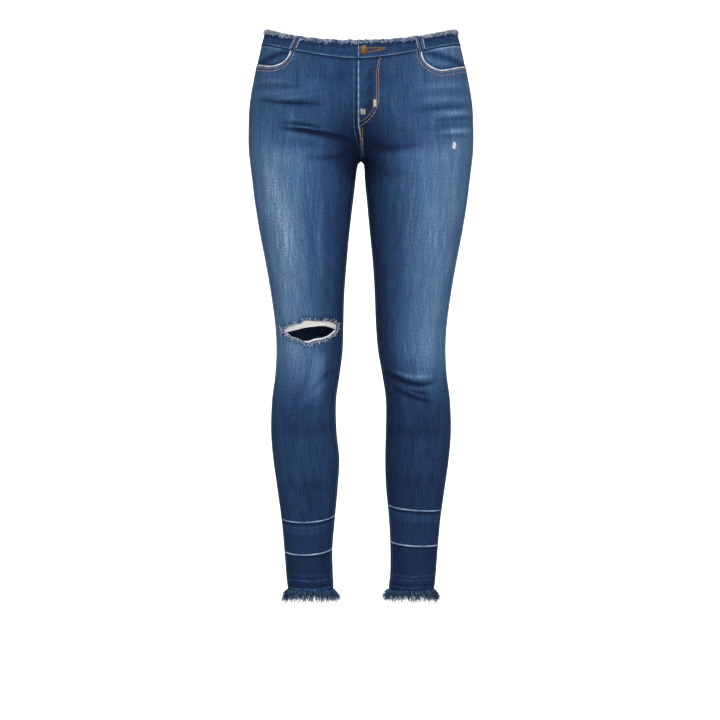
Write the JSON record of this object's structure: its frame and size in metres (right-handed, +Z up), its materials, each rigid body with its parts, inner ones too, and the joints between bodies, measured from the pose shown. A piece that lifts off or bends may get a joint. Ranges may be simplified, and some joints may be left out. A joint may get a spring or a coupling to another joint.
{
  "type": "ripped skinny jeans",
  "caption": "Hollow, worn-shape skinny jeans with a raw frayed waist, scoop front pockets, one slashed knee, banded lower legs and fringed hems.",
  "frame": {"origin": "in the middle of the waist opening, level with the middle of the waistband at the sides, where the wearer's waist holds the garment up", "axes": "+Z up, -Y the garment's front, +X the wearer's left"},
  "size_m": [0.359, 0.2376, 0.9209],
  "materials": {
    "washed_denim": "mid-blue stretch denim, washed, faded on the thighs and hips",
    "waist_denim": "mid-blue denim, darker and less faded than the legs",
    "dark_denim": "dark blue denim of the released hem, with pale worn seam ridges",
    "blue_fray": "loose blue and pale blue warp threads",
    "pale_fray": "pale blue and white fuzz of a raw cut edge",
    "weft_thread": "undyed white cotton weft threads",
    "antique_bronze": "antique bronze, satin, rubbed on the dome"
  },
  "bodies": {
    "root": {"front_panel_left": "washed_denim", "front_panel_right": "washed_denim", "back_panel_left": "washed_denim", "back_panel_right": "washed_denim", "yoke_left": "washed_denim", "yoke_right": "washed_denim", "back_pocket_left": "washed_denim", "back_pocket_right": "washed_denim", "pocket_facing_left": "washed_denim", "pocket_facing_right": "washed_denim", "waistband_front_left": "waist_denim", "waistband_front_right": "waist_denim", "waistband_back": "waist_denim", "fly_placket": "waist_denim", "belt_loop_front_left": "waist_denim", "belt_loop_front_right": "waist_denim", "belt_loop_back_left": "waist_denim", "belt_loop_back_right": "waist_denim", "belt_loop_back_centre": "waist_denim", "leg_band_upper_front_left": "dark_denim", "leg_band_upper_front_right": "dark_denim", "leg_band_upper_back_left": "dark_denim", "leg_band_upper_back_right": "dark_denim", "leg_band_lower_front_left": "dark_denim", "leg_band_lower_front_right": "dark_denim", "leg_band_lower_back_left": "dark_denim", "leg_band_lower_back_right": "dark_denim", "hem_fringe_left": "blue_fray", "hem_fringe_right": "blue_fray", "waist_fray": "pale_fray", "rip_threads": "weft_thread", "button": "antique_bronze"}
  },
  "joints": []
}
